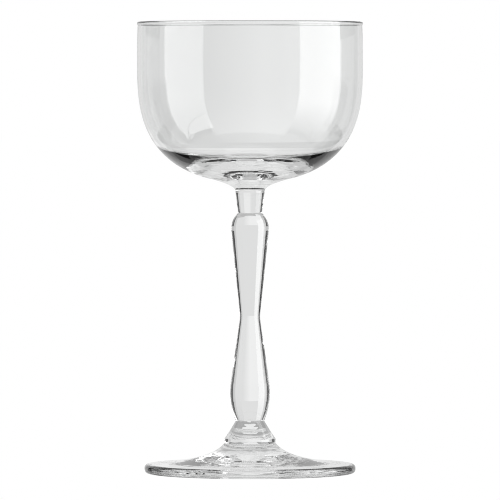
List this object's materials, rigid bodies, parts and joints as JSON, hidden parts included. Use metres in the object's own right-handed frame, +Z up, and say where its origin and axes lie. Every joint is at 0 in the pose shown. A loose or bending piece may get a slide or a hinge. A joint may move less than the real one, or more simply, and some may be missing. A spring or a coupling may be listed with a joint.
{
  "type": "nick and nora glass",
  "caption": "Stemmed cocktail glass with a deep upright-sided bowl, beaded rim, double-baluster stem and wide round foot.",
  "frame": {"origin": "centre of the circle on which the foot rests, on the table plane", "axes": "+Z up along the glass's axis of revolution, from the foot to the rim"},
  "size_m": [0.075, 0.075, 0.15],
  "materials": {
    "clear_glass": "clear fire-polished glass with a very faint cool tint"
  },
  "bodies": {
    "root": {"bowl": "clear_glass", "neck": "clear_glass", "stem": "clear_glass", "foot_collar": "clear_glass", "foot": "clear_glass"}
  },
  "joints": []
}
